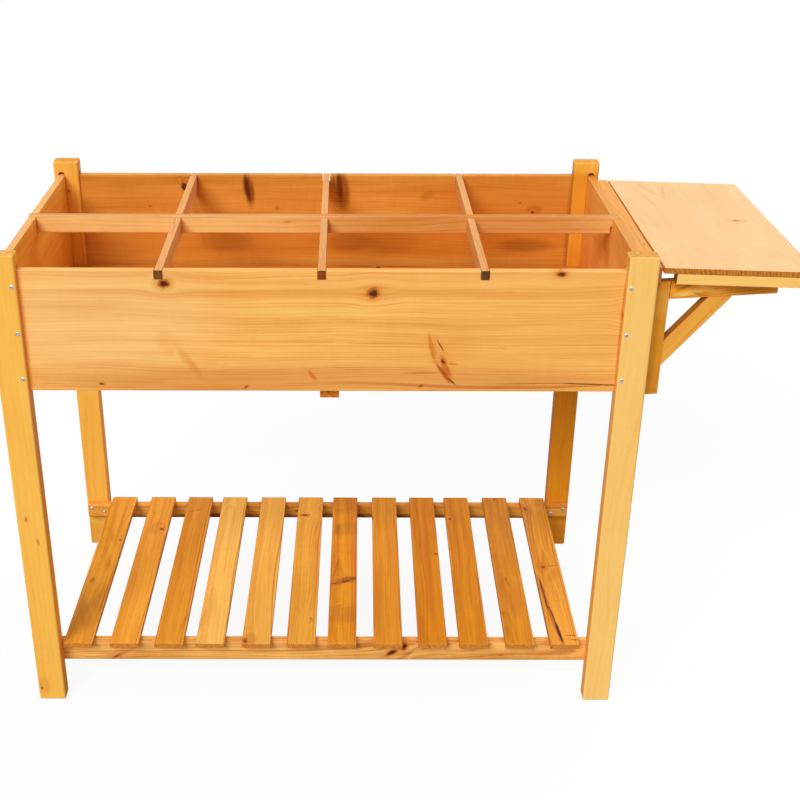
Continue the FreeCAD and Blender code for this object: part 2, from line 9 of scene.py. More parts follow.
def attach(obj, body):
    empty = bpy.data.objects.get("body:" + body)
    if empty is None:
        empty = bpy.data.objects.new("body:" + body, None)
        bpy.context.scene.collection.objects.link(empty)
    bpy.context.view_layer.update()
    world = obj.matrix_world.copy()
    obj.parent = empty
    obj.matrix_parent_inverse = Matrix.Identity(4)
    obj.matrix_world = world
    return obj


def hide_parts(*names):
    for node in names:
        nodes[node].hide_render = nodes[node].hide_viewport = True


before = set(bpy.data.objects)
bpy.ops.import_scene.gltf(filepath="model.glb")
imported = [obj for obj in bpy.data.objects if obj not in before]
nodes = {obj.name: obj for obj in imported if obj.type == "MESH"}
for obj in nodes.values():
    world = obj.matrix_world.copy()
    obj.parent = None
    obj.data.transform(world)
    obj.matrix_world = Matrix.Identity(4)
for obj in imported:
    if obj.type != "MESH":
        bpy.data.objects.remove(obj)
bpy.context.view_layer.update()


# Legs: four fir posts of 44 x 26 mm, planed, their arrises rounded over and the whole leg dipped
# in amber varnish. Each is cut square at the foot, and the tub's panels slide into its grooves.

class Reading:
    """One value or colour read off a surface: a socket that arithmetic can be done on."""

    def __init__(self, socket):
        self.socket = socket

    def node(self, kind, settings, values, output=0):
        """A node of this material: its settings first, then what goes into its sockets."""
        tree = self.socket.id_data
        made = tree.nodes.new(kind)
        for name, value in settings.items():
            setattr(made, name, value)
        for name, value in values.items():
            if isinstance(value, Reading):
                tree.links.new(value.socket, made.inputs[name])
            else:
                made.inputs[name].default_value = value
        return Reading(made.outputs[output]) if made.outputs else None

    def reckon(self, operation, *values):
        return self.node("ShaderNodeMath", {"operation": operation}, dict(enumerate(values)))

    def __add__(self, other):
        return self.reckon("ADD", self, other)

    def __sub__(self, other):
        return self.reckon("SUBTRACT", self, other)

    def __rsub__(self, other):
        return self.reckon("SUBTRACT", other, self)

    def __mul__(self, other):
        return self.reckon("MULTIPLY", self, other)

    def __truediv__(self, other):
        return self.reckon("DIVIDE", self, other)

    def __rtruediv__(self, other):
        return self.reckon("DIVIDE", other, self)

    def __abs__(self):
        return self.reckon("ABSOLUTE", self)

    __radd__ = __add__
    __rmul__ = __mul__

    def rise(self, low, high):
        """0 below low, 1 above high, and smooth between them. It falls where low is above high."""
        return self.node("ShaderNodeMapRange", {"interpolation_type": "SMOOTHSTEP"},
                         {"Value": self, "From Min": low, "From Max": high})

    def between(self, first, second):
        """The first colour where this reading is 0, the second where it is 1."""
        share_in, first_in, second_in, colour_out = 0, 6, 7, 2
        return self.node("ShaderNodeMix", {"data_type": "RGBA"},
                         {share_in: self, first_in: first, second_in: second}, colour_out)

    def vector(self, operation, other, output=0):
        return self.node("ShaderNodeVectorMath", {"operation": operation}, {0: self, 1: other}, output)

    def parts(self):
        return [self.node("ShaderNodeSeparateXYZ", {}, {"Vector": self}, axis) for axis in range(3)]

    def length(self):
        return self.vector("LENGTH", (0, 0, 0), "Value")

    def noise(self, size, detail=2, output=0):
        """Noise whose blotches are as long as size says along, across and through the board, in mm."""
        place = self.vector("MULTIPLY", tuple(1 / side for side in size))
        return self.node("ShaderNodeTexNoise", {}, {"Vector": place, "Scale": 1, "Detail": detail}, output)

    def sway(self, size, detail, most):
        """A push sideways that changes over the board as its noise does, by up to half of most, in mm."""
        middle = (0.5, 0.5, 0.5)
        return self.noise(size, detail, "Color").vector("SUBTRACT", middle).vector("MULTIPLY", most)

    def slow_noise(self, seed):
        """Noise along a single number, for what changes from one growth ring to the next."""
        return self.node("ShaderNodeTexNoise", {"noise_dimensions": "1D"},
                         {"W": self + seed, "Scale": 1, "Detail": 1})

    def around(self, middle, half, turn=0):
        """This place as seen from a spot on the face, where the spot's own edge lies at 1. The spot
        goes right through the board."""
        endless = 1e6
        return self.node("ShaderNodeMapping", {"vector_type": "TEXTURE"},
                         {"Vector": self, "Location": (*middle, 0), "Rotation": (0, 0, math.radians(turn)),
                          "Scale": (*half, endless)})

    def reach(self, mark, ragged):
        """How far this place is from the middle of a mark, with 1 at the mark's ragged edge."""
        mark_along, mark_across, long, wide, turn = mark
        return self.around((mark_along, mark_across), (long, wide), turn).length() + ragged


def tint(red, green, blue):
    """A colour as it is seen, in display steps of 0 to 255, as the linear colour that a shader takes."""
    seen = [value / 255 for value in (red, green, blue)]
    return (*[part / 12.92 if part < 0.04045 else ((part + 0.055) / 1.055) ** 2.4 for part in seen], 1)


def blend(first, second, share):
    """A colour that lies between two others, or beyond the first one where share is below 0."""
    return tuple(start + (stop - start) * share for start, stop in zip(first, second))


def blank_finish(name):
    """An empty finish and the point on the surface, in metres, that its readings start from."""
    finish = bpy.data.materials.new(name)
    finish.use_nodes = True
    finish.node_tree.nodes.clear()
    return finish, Reading(finish.node_tree.nodes.new("ShaderNodeTexCoord").outputs["Object"])


def wear(node, finish):
    """Puts a finish on every slot of a CAD node."""
    slots = nodes[node].data.materials
    slots.clear()
    slots.append(finish)


def board_place(node, along, face, place):
    """A point in the board's own mm, along, across and through it from its middle, and half its size."""
    along, face = Vector(along).normalized(), Vector(face).normalized()
    axes = Matrix((along, face.cross(along), face)).transposed()
    points = np.array([axes.transposed() @ corner.co for corner in nodes[node].data.vertices])
    low, high = points.min(0), points.max(0)
    millimetre = 0.001
    at = place.node("ShaderNodeMapping", {"vector_type": "TEXTURE"},
                    {"Vector": place, "Location": axes @ Vector((low + high) / 2),
                     "Rotation": axes.to_euler(), "Scale": (millimetre, millimetre, millimetre)})
    return at, (high - low) * (0.5 / millimetre)


def bend_round_knots(bent, at, knots):
    """Pushes the fibres aside round every knot that is wide enough to turn them."""
    least_width, pull_long, pull_wide = 2.5, 3.4, 2.8
    for knot_along, knot_across, long, wide, turn, dark in knots:
        if wide > least_width:
            near = at.around((knot_along, knot_across), (pull_long * long, pull_wide * wide))
            pull = near.reckon("EXPONENT", near.vector("DOT_PRODUCT", near, "Value") * -1)
            shove = near.vector("MULTIPLY", (0, 2 * wide, 0))
            pushed = shove.node("ShaderNodeVectorMath", {"operation": "SCALE"}, {0: shove, "Scale": pull})
            bent = bent.vector("SUBTRACT", pushed)
    return bent


def growth_rings(bent, pith, lean, pitch, seed):
    """How far through its year's ring a point is, from 0 to 1, and how dark its late wood is."""
    along_it, across_it, through_it = bent.parts()
    beside_pith = across_it - pith[0] + along_it * lean[0]
    before_pith = through_it + pith[1] + along_it * lean[1]
    square = beside_pith * beside_pith + before_pith * before_pith
    radius = square.reckon("SQRT", square)

    # Some years grow wide and some narrow. Late wood darkens towards the year's end and stops short.
    rings_off, width_pace, strength_pace = 2.4, 0.21, 0.43
    uneven = (radius * (width_pace / pitch)).slow_noise(seed)
    rings = radius / pitch + uneven * rings_off
    year = rings.reckon("FRACT", rings)
    strong = (rings * strength_pace).slow_noise(seed).rise(0.3, 0.7)
    late = year.rise(0.35, 0.86) * year.rise(1, 0.93) * 0.8 + year.rise(0, 1) * 0.2
    return year, late * (strong * 0.8 + 0.2)


def fir(node, along, face, tone, line, pith, pitch=5, lean=(0, 0), patches=(), knots=(), cracks=(), rims=(),
        end=(222, 150, 70), side=None, rim_darkening=0.1, contrast=0.6, blotch=0.3, streaks=0.3, gloss=0.42):
    """Varnished fir on one board. The growth rings are tubes round the pith, which lies at pith
    (across, behind the face) from the board's middle and drifts by lean along it. Patches, knots,
    cracks and rims each start with along, across, half length, half width and turn in degrees. A
    patch goes on with its colour and strength, and the others with their darkness. Lengths in mm."""
    finish, place = blank_finish(node + "_fir")
    at, (half_length, half_width, half_thickness) = board_place(node, along, face, place)

    # Each board is sawn from its own place in the wood, and its fibres sway, wide and small.
    seed = sum(ord(letter) for letter in node) * 7.31
    wild = at.vector("ADD", (seed * 11, seed * 5, seed * 3))
    bent = at.vector("ADD", wild.sway((340, 90, 90), 1, (0, 22, 22)))
    bent = bent.vector("ADD", wild.sway((60, 8, 8), 2, (0, 1.3, 1.3)))
    bent = bend_round_knots(bent, at, knots)
    year, late = growth_rings(bent, pith, lean, pitch, seed)
    late = late * (wild.noise((70, 7, 7), 2).rise(0.25, 0.7) * 0.75 + 0.25)

    # Clear wood: late wood, streaks and clouds take it from the pale tone to the dark line.
    fibre = wild.noise((48, 1.1, 1.1), 2)
    streak = bent.noise((300, 2.4, 2.4), 3)
    broad = bent.noise((420, 13, 13), 2)
    cloud = wild.noise((150, 46, 46), 3)
    figure = wild.noise((9, 34, 34), 2)
    smudge = wild.noise((9, 5, 5), 3) - 0.5
    depth = late * contrast + (streak - 0.5) * streaks + (broad - 0.5) * streaks * 1.5
    depth = depth + (fibre - 0.5) * 0.3 + (cloud - 0.5) * blotch * 2 + (figure - 0.5) * blotch * 0.5
    colour = (depth + 0.3).between(blend(tint(*tone), tint(*line), -0.45), tint(*line))
    pores = wild.noise((14, 0.8, 0.8), 1).rise(0.7, 0.78)
    colour = (pores * 0.3).between(colour, tint(line[0] * 0.75, line[1] * 0.62, line[2] * 0.5))

    # Edges: the sides may have their own tone, and the long arrises are lighter in places, partly rubbed
    # wear and partly a painted highlight.
    along_it, across_it, through_it = at.parts()
    from_side = half_width - abs(across_it)
    from_face = half_thickness - abs(through_it)
    from_end = half_length - abs(along_it)
    lesser = from_side.reckon("MINIMUM", from_side, from_face)
    greater = from_side.reckon("MAXIMUM", from_side, from_face)
    from_arris = lesser.reckon("MAXIMUM", lesser, greater.reckon("MINIMUM", greater, from_end))
    rubbed_and_highlight = from_arris.rise(2.4, 0.6) * (wild.noise((34, 34, 34), 2).rise(0.35, 0.65) * 0.65 + 0.35)
    sawn = from_end.rise(0.9, 0.3)
    bare_wood_and_highlight, end_rim_tone = (255, 214, 150), (52, 28, 14)
    # Side tones that are darker and warmer than the face are painted shade, for side faces that turn away
    # from the lamps.
    if side:
        colour = (from_side.rise(0.6, 0.2) * 0.85).between(colour, tint(*side))
    # Painted highlight and rubbed wear: the arrises go paler.
    colour = (rubbed_and_highlight * 0.22).between(colour, tint(*bare_wood_and_highlight))

    # Faults of this board on its face, one over the other, with open ones sunk into it.
    front_only = (through_it + half_thickness).rise(0.4, 2) * (late * 0.35 + 0.75)
    for *mark, stain, strength in patches:
        reach = bent.reach(mark, smudge * 0.25)
        colour = (reach.rise(1.35, 0.55) * strength * front_only).between(colour, tint(*stain))
    hollow = late * 0.3
    bark, flesh, resin, outline = (82, 38, 24), (190, 96, 34), (222, 136, 48), (118, 56, 20)

    # A knot has resin around it, a reddish ring and a dark heart. A crack is dark with brown edges,
    # and a rim is only the outline of a mark.
    for *mark, dark in knots:
        reach = at.reach(mark, smudge * 0.9)
        colour = (reach.rise(2.2, 0.9) * (0.6 * dark)).between(colour, tint(*resin))
        colour = (reach.rise(1.2, 0.85) * dark).between(colour, tint(*flesh))
        heart = tint(*blend(flesh, bark, dark))
        colour = (reach.rise(0.72, 0.46) * min(1, dark * 1.1)).between(colour, heart)
        hollow = hollow + reach.rise(1.1, 0.8) * dark
    for *mark, dark in cracks:
        reach = at.reach(mark, smudge * 0.5)
        colour = (reach.rise(1.7, 0.9) * (0.5 * dark)).between(colour, tint(*flesh))
        colour = (reach.rise(1.05, 0.7) * dark).between(colour, tint(*bark))
        hollow = hollow + reach.rise(1.1, 0.7) * dark * 1.5
    for *mark, dark in rims:
        edge = 1 / mark[3]
        reach = at.reach(mark, smudge * 0.5)
        colour = (abs(reach - 1).rise(0.9 * edge, 0.25 * edge) * dark).between(colour, tint(*outline))

    # Sawn ends: end grain with its rings, darker near the edges.
    sawn_rings = year.rise(0.15, 0.85) * year.rise(1, 0.9)
    dark_end = tint(end[0] * 0.6, end[1] * 0.5, end[2] * 0.38)
    end_grain = (sawn_rings * 0.55 + smudge * 1.4).between(tint(*end), dark_end)
    end_grain = (lesser.rise(1.7, 0.4) * rim_darkening).between(end_grain, tint(*end_rim_tone))
    colour = (sawn * 0.95).between(colour, end_grain)

    # Varnish: a soft sheen, duller where it is rubbed or sawn, over fibres that still show.
    rough = gloss + (fibre - 0.5) * 0.16 + rubbed_and_highlight * 0.1 + sawn * 0.2 + smudge * 0.08
    grain = fibre * 0.5 - hollow * 0.6 + smudge * 0.25 + sawn * wild.noise((1.4, 1.4, 1.4), 2)
    relief = grain.node("ShaderNodeBump", {}, {"Strength": 0.35, "Distance": 0.0004, "Height": grain})
    skin = colour.node("ShaderNodeBsdfPrincipled", {},
                       {"Base Color": colour, "Roughness": rough, "Normal": relief,
                        "Specular IOR Level": 0.06, "Coat Weight": 0.03, "Coat Roughness": 0.3})
    skin.node("ShaderNodeOutputMaterial", {}, {"Surface": skin})
    wear(node, finish)


up, right, back = (0, 0, 1), (1, 0, 0), (0, 1, 0)
down, left, front = (0, 0, -1), (-1, 0, 0), (0, -1, 0)
# Painted shade: the legs' side faces take a darker, warmer tone of their own, set for the sides that face
# away from the main lamp.
leg_side_shade = (250, 160, 38)
fir("leg_front_left", up, front, (255, 192, 83), (246, 168, 61), (60, 70), 6, (0.01, 0.02), contrast=0.35,
    streaks=0.2, side=leg_side_shade, end=(252, 186, 100),
    knots=[(-41, 7, 5, 2.2, 0, 0.4), (-83, -8, 7, 2, 10, 0.35), (-376, 16, 3, 2, 0, 0.6)],
    patches=[(-370, 14, 20, 12, 0, (226, 142, 52), 0.5)])
fir("leg_front_right", up, front, (253, 202, 112), (245, 180, 86), (-40, 60), 6, (0.02, 0.01), contrast=0.3,
    streaks=0.18, side=(246, 172, 76), end=(242, 172, 78))
fir("leg_back_left", up, front, (249, 186, 77), (233, 160, 53), (30, 50), 5, (0.02, -0.02), contrast=0.4,
    side=leg_side_shade, end=(250, 168, 72), knots=[(346, -2, 2.2, 1.4, 0, 0.9)],
    patches=[(-390, 0, 44, 60, 0, (228, 146, 44), 0.7)])
fir("leg_back_right", up, front, (238, 154, 32), (216, 128, 22), (-50, 40), 5, (-0.01, 0.02), contrast=0.4,
    side=(228, 138, 26), end=(248, 172, 80), streaks=0.5,
    patches=[(392, 0, 14, 30, 0, (250, 190, 80), 1.1), (290, 0, 95, 40, 0, (226, 162, 58), 0.9)])


# Tub: front and back panel of wide 12 mm fir boards, their ends slid into the legs' grooves and
# screwed through the legs. The knots, the bark scar and the red heartwood band sit as on the real one.
# Painted shade: a darker band at a panel's end, in the corner where it meets a leg.
joint_shade = (150, 82, 24)
fir("front_panel", right, front, (255, 189, 101), (238, 159, 70), (132, 44), 4.4, (0.008, 0.02),
    contrast=0.7, streaks=0.9,
    patches=[(-330, 20, 170, 90, 0, (255, 212, 152), 0.35), (330, 10, 200, 110, 0, (230, 163, 73), 0.3),
             (0, 62, 470, 8, 0, (232, 154, 70), 0.6), (0, -79, 470, 25, 0, (213, 125, 50), 0.62),
             (0, 93, 470, 5, 0, (238, 164, 80), 0.4), (-214, -34, 7, 8, 20, (255, 206, 114), 0.8),
             (-226, -20, 22, 16, -40, (240, 164, 70), 0.35), (-203, -42, 17, 6, -52, (230, 144, 56), 0.55),
             (-190, -58, 17, 6, -58, (222, 130, 50), 0.5), (-20, -66, 14, 9, -40, (234, 154, 66), 0.5),
             (-15, -72, 11, 3.4, -58, (210, 104, 36), 0.9), (178, -42, 40, 14, -66, (236, 152, 58), 0.6),
             (162.5, -25, 24, 3.4, -78, (214, 118, 32), 0.9), (181, -65, 20, 3.6, -58, (178, 76, 18), 1.1),
             (185, -57, 19, 4.6, -66, (204, 92, 30), 1), (195.5, -50, 7, 1.6, -10, (170, 88, 30), 0.7),
             # The long thin patch at -88 across paints a shadow line along the bottom edge.
             (150, -67, 26, 2.4, 4, (190, 104, 40), 0.6), (240, -88, 210, 2.4, 0, (184, 80, 26), 0.6),
             (204, -20, 26, 30, -60, (240, 164, 74), 0.4),
             # The orange band at the left end tints the left leg's cast shadow on the panel: painted shade.
             (440.5, 0, 2.4, 110, 0, joint_shade, 0.6), (-440.5, 0, 6, 150, 0, (250, 140, 36), 0.5)],
    knots=[(-229, 76, 9.5, 7, 0, 0.95), (75, 62, 9, 8, 20, 0.9), (346, 92, 8, 4.4, 0, 0.85),
           (443, 29, 4, 7, 0, 0.9), (-332, -85, 4.4, 2.4, -10, 0.7), (-115, -90, 4, 2.4, 30, 0.65),
           (148, -87, 5, 2.4, 20, 0.55), (180, -47, 6, 3.4, -60, 0.8)],
    # The two long cracks at -83 and -84 across are part of that painted shadow line along the bottom edge.
    cracks=[(322, -83, 66, 0.8, 1, 0.5), (404, -84, 44, 1.1, -2, 0.8), (193.5, -79, 9, 1.5, -46, 0.8),
            (175.5, -21, 11, 0.9, -60, 0.85), (168, -30, 9, 0.5, -78, 0.4)])
# Darker blotches on the back panel's inner face, the big soft ones low down.
dark_blot = (150, 78, 20)
fir("back_panel", right, front, (222, 150, 60), (196, 116, 34), (-130, 40), 4.4, (0.01, 0.02),
    contrast=0.3, streaks=0.6, blotch=0.45,
    patches=[(0, -28, 470, 26, 0, (198, 110, 26), 0.5), (330, 30, 150, 60, 0, (210, 120, 34), 0.5),
             (-139, 68, 9.5, 31, 8, (152, 70, 16), 1.15), (28, 68, 14, 33, 6, (156, 78, 20), 1.1),
             (-142, 72, 4.4, 25, 8, (88, 42, 20), 1.1), (24, 74, 5, 25, 6, (98, 50, 22), 1.05),
             (13, 82, 2.4, 16, 6, (112, 56, 24), 0.7), (-89, 34, 5, 4, 0, dark_blot, 0.5),
             (181, 56, 12, 6, 20, dark_blot, 0.35), (374, 34, 14, 8, 0, dark_blot, 0.5),
             (363, -34, 50, 13, 0, dark_blot, 0.6), (39, -30, 44, 20, 0, dark_blot, 0.42),
             (117, -30, 54, 22, 0, dark_blot, 0.35), (-182, -26, 46, 22, 0, dark_blot, 0.35),
             (-236, 30, 6, 60, 14, dark_blot, 0.4),
             (440, 0, 6, 110, 0, joint_shade, 0.6)],
    knots=[(349, 46, 2, 1.4, 0, 0.8), (372, 28, 4.4, 3, 0, 0.9), (-318, 38, 3, 2, 0, 0.4),
           (-390, -3, 5, 3.4, 0, 0.4)],
    cracks=[(-254, 74, 6, 8, 20, 0.95)],
    rims=[(-250, 84, 9, 6, 40, 0.6), (-262, 86, 5, 8, 20, 0.5)])


# End panels: the same 12 mm board with its grain front to back. The top edge of the left one has
# been planed paler, and each has an open notch for the long strip of the grid.
fir("end_panel_left", back, right, (250, 180, 72), (230, 142, 38), (40, 45), 8, (0.03, 0.04), contrast=0.25,
    blotch=0.6, side=(242, 176, 112), knots=[(240, 92, 3, 2.2, 0, 0.9)],
    patches=[(-60, -20, 60, 26, 40, (206, 112, 20), 0.6), (150, 40, 60, 30, 30, (250, 178, 82), 0.4)])
fir("end_panel_right", back, left, (246, 178, 88), (224, 146, 56), (-30, 40), 8, (0.02, -0.03),
    contrast=0.4, blotch=0.6, side=(222, 146, 54), knots=[(-200, -40, 3, 2, 0, 0.8)],
    # The dark patch just below the long strip's end is a painted shadow.
    patches=[(20, -40, 26, 30, 30, (196, 104, 30), 0.6), (200, 0, 40, 90, 0, (226, 148, 56), 0.5)])


# Tub floor: four thin fir boards laid lengthwise on two end cleats and a middle bearer, with
# drainage gaps between them. They are darker, with coarse knots.
floor_tones = [(216, 126, 26), (222, 134, 36), (210, 116, 24), (224, 138, 40)]
for number, tone in enumerate(floor_tones, 1):
    fir(f"floor_board_{number}", right, up, tone, (186, 94, 22), (25 - 14 * number, 38), 5.5, (0.02, 0.02),
        patches=[(0, 46, 500, 12, 0, (212, 126, 40), 0.8), (0, 56.5, 500, 2, 0, (96, 44, 12), 0.9)],
        knots=[(150 * number - 410, 12, 11, 8, 20, 0.9), (90 * number - 60, -28, 8, 6, 0, 0.8),
               (190 * number - 666, 46, 5, 5, 0, 1), (-160 * number + 350, 44, 14, 4, 0, 0.6)])
fir("floor_bearer", back, down, (235, 132, 41), (197, 91, 21), (20, 30), 4.5, (0.02, 0.01),
    end=(226, 128, 32))
for side in ("left", "right"):
    fir(f"floor_cleat_{side}", back, down, (222, 140, 62), (190, 100, 34), (20, 34), 4.5, (0.01, 0.02))


# Shelf: two fir rails screwed to the inner faces of the legs, and twelve slats of 48 x 9 mm laid
# across them by hand, all a little skew. Slats are mixed stock, so each has its own tone and faults.
fir("shelf_rail_front", right, front, (250, 184, 96), (204, 124, 46), (16, 24), 3.6, (0.02, 0.03),
    contrast=0.9, streaks=0.9, blotch=0.5,
    patches=[(0, -15, 500, 4, 0, (196, 118, 42), 0.5), (150, -1, 16, 4, 56, (250, 190, 104), 0.7),
             (140, -4, 26, 3, 30, (170, 96, 34), 0.6), (-340, -4, 26, 4, 30, (206, 124, 50), 0.6)],
    knots=[(-352, -11, 11, 2.8, 30, 0.55), (114, -3, 12, 4.4, 30, 0.95), (136, 10, 8, 5, 60, 0.95),
           (300, -8, 5, 2, 0, 0.3)])
fir("shelf_rail_back", right, front, (242, 168, 66), (208, 118, 32), (-14, 22), 4, (0.01, 0.03),
    streaks=0.5,
    # The dark band along the bottom is painted shade on the rail's rounded underside, and the pale streak
    # at the left is a painted highlight.
    patches=[(0, 11, 500, 3, 0, (196, 124, 50), 0.6), (0, -12, 520, 6, 0, (112, 50, 12), 0.9),
             (-330, 3, 60, 5, 0, (240, 170, 100), 0.6), (120, 2, 90, 6, 0, (196, 108, 34), 0.6)],
    cracks=[(184, 0, 1.6, 11, 0, 0.9)], knots=[(-60, 2, 6, 3, 0, 0.7), (330, 4, 6, 3, 0, 0.6)])
slat_skew = math.radians(0.7)
slat_length = (math.sin(slat_skew), math.cos(slat_skew), 0)
# Painted shade: the slats' side faces take a darker orange tone of their own.
slat_side_shade = (218, 122, 32)
char = (150, 84, 24)
slats = [
    {"tone": (236, 160, 50), "line": (204, 121, 28), "pith": (-6, 30), "blotch": 0.5,
     "patches": [(-150, 4, 60, 12, 20, (196, 118, 42), 0.5), (-120, -8, 40, 8, -20, (206, 128, 46), 0.5),
                 (-205, 6, 40, 14, 0, (204, 124, 38), 0.4), (90, 2, 34, 6, 24, (204, 124, 38), 0.5),
                 (20, 0, 40, 8, 16, (208, 128, 40), 0.45)],
     "knots": [(79, -17, 5, 2.4, 20, 0.5), (-54, 11, 5, 3, 0, 0.5)], "rims": [(-54, 11, 6, 4.4, 0, 0.6)]},
    {"tone": (248, 168, 57), "line": (218, 131, 33), "pith": (30, 22),
     "knots": [(119, -13, 5, 3.4, 40, 0.9)], "rims": [(122, -6, 16, 12, 20, 0.2)],
     "patches": [(124, -2, 26, 14, 0, (204, 118, 34), 0.4)]},
    {"tone": (234, 154, 44), "line": (206, 121, 26), "pith": (-34, 20),
     "cracks": [(186, 8, 1, 16, 20, 0.5)],
     "patches": [(210, 0, 24, 26, 0, (214, 134, 46), 0.5)]},
    {"tone": (255, 195, 93), "line": (234, 157, 61), "pith": (4, 40), "blotch": 0.4},
    {"tone": (247, 182, 77), "line": (223, 144, 48), "pith": (40, 26), "knots": [(-232, 19, 8, 5, 0, 0.65)],
     "cracks": [(150, 23, 18, 0.8, 0, 0.5)], "patches": [(-226, 12, 16, 12, 0, (200, 124, 40), 0.6)]},
    {"tone": (243, 174, 64), "line": (217, 139, 40), "pith": (-28, 30),
     "knots": [(171, 10, 4.5, 9, 0, 0.8)],
     "patches": [(40, -18, 190, 5, 0, (206, 124, 36), 0.4), (-170, -19, 7, 3, 30, (166, 96, 32), 0.7),
                 (-178, -17, 6, 2.4, -30, (178, 108, 40), 0.6)]},
    {"tone": (232, 150, 30), "line": (196, 108, 12), "pith": (12, 30), "blotch": 0.5,
     "cracks": [(-56, -4, 3.2, 9, 24, 0.7), (-46, -18, 3, 8, 10, 0.5), (-62, 14, 1.6, 8, 10, 0.7),
                (-130, 6, 1.2, 9, 20, 0.3), (-140, 0, 0.9, 5, -20, 0.3)],
     "patches": [(0, -20, 250, 7, 0, (216, 112, 34), 0.6), (120, 0, 22, 90, 0, char, 0.3),
                 (-156, 0, 24, 70, 0, char, 0.35), (215, 0, 34, 60, 0, char, 0.3),
                 (-50, -8, 9, 18, 14, (120, 58, 18), 0.8), (-60, 12, 9, 14, 14, (184, 104, 30), 0.7)]},
    {"tone": (229, 149, 36), "line": (203, 121, 20), "pith": (-40, 30),
     "cracks": [(160, 23, 7, 1.6, 0, 0.6)],
     "patches": [(-120, 16, 110, 6, 0, (218, 124, 34), 0.4)]},
    {"tone": (222, 138, 14), "line": (190, 102, 6), "pith": (36, 28), "knots": [(34, -19, 4, 3.4, 0, 0.85)],
     "patches": [(20, -2, 230, 6, 0, (206, 104, 28), 0.5), (-200, 16, 40, 8, 0, (190, 100, 24), 0.5)]},
    {"tone": (222, 139, 18), "line": (190, 106, 8), "pith": (-18, 34), "knots": [(158, 16, 5, 4, 0, 0.75)],
     "patches": [(164, 6, 26, 14, 0, (196, 110, 28), 0.4)]},
    {"tone": (221, 142, 30), "line": (188, 108, 14), "pith": (8, 32), "blotch": 0.5,
     "knots": [(232, 0, 4, 3, 0, 0.75)],
     "patches": [(-110, -4, 50, 20, 0, (206, 122, 34), 0.5), (150, 0, 30, 18, 0, (208, 126, 40), 0.4),
                 (-48, 5, 8, 2.4, 0, (158, 88, 24), 0.7), (-62, 3, 6, 2.6, 24, (166, 94, 28), 0.6)]},
    {"tone": (240, 164, 54), "line": (204, 120, 30), "pith": (-4, 26), "contrast": 0.75,
     "knots": [(196, 17, 9, 5, 20, 0.55), (-9, 8, 5, 4, 0, 0.8)],
     "cracks": [(-4, -8, 1.2, 14, 10, 0.4), (-76, 17.8, 30, 1.7, 2, 0.85), (-114, 16.6, 24, 1.2, 2, 0.85),
                (-137, 13.4, 16, 1.3, 16, 0.9), (-162, 9.6, 24, 1.5, 5, 0.9), (-205, 5.6, 34, 2.6, 5, 1),
                (-214, -14, 1, 9, 0, 0.8), (-226, -18, 1, 8, 0, 0.8)],
     "patches": [(-140, 13, 100, 3.6, 5, (164, 86, 24), 0.8), (150, -6, 40, 16, 0, (214, 134, 46), 0.4),
                 (-9, 8, 16, 10, 10, (206, 118, 36), 0.7), (-34, -8, 22, 12, -20, (212, 128, 42), 0.6),
                 (196, 17, 20, 10, 20, (202, 116, 38), 0.6), (218, -10, 16, 12, 0, (206, 122, 40), 0.5)]},
]
# Painted shade: a thin dark line along both long edges of each slat's top.
slat_edge_shade = [(0, 23.6, 400, 1.5, 0, (186, 104, 24), 0.7), (0, -23.6, 400, 1.5, 0, (186, 104, 24), 0.7)]
for number, slat in enumerate(slats, 1):
    slat["patches"] = slat.get("patches", []) + slat_edge_shade
    fir(f"shelf_slat_{number:02d}", slat_length, up, pitch=3, lean=(0.015, 0.02), end=(224, 140, 54),
        side=slat_side_shade, **{"contrast": 0.45, "streaks": 0.85, **slat})


# Lift-out grid: one long strip lapped over three cross strips of 11 x 29 mm, sawn and only lightly
# varnished, so they stay pinkish. The cross strips' ends are dark, darker still near their edges.
fir("long_divider", right, front, (247, 197, 120), (227, 163, 88), (40, 30), 5, (0.01, 0.03), gloss=0.55,
    blotch=0.4, side=(214, 142, 84), knots=[(-60, 4, 6, 2.6, 0, 0.25)],
    patches=[(230, 0, 250, 40, 0, (206, 122, 38), 0.8)],
    # The two cracks at its ends are painted shade in the gaps where it meets the end panels.
    cracks=[(-560.5, -8, 1.6, 12, 0, 0.7), (560.5, -8, 1.6, 12, 0, 0.9)])
divider_ends = [(130, 76, 30), (154, 66, 20), (96, 60, 24)]
for number, end in enumerate(divider_ends, 1):
    fir(f"cross_divider_{number}", back, up, (230, 164, 99), (204, 133, 73), (18, 24), 3.6, (0.02, 0.05),
        end=end, rim_darkening=0.9, gloss=0.55, blotch=0.35, streaks=0.45)


# Hinge strip: an 18 mm fir strip screwed to the outside of the right end panel, flush with its
# top, to carry the side table's hinges.
fir("hinge_strip", back, up, (236, 162, 68), (216, 130, 42), (34, 30), 4.5, (0.01, 0.02), streaks=0.5,
    # The dark line along its edge by the leaf is painted shade in the gap.
    contrast=0.4, knots=[(-120, -3, 5, 1.4, 0, 0.3)], patches=[(0, -9.4, 600, 1, 0, (196, 112, 40), 0.6)])


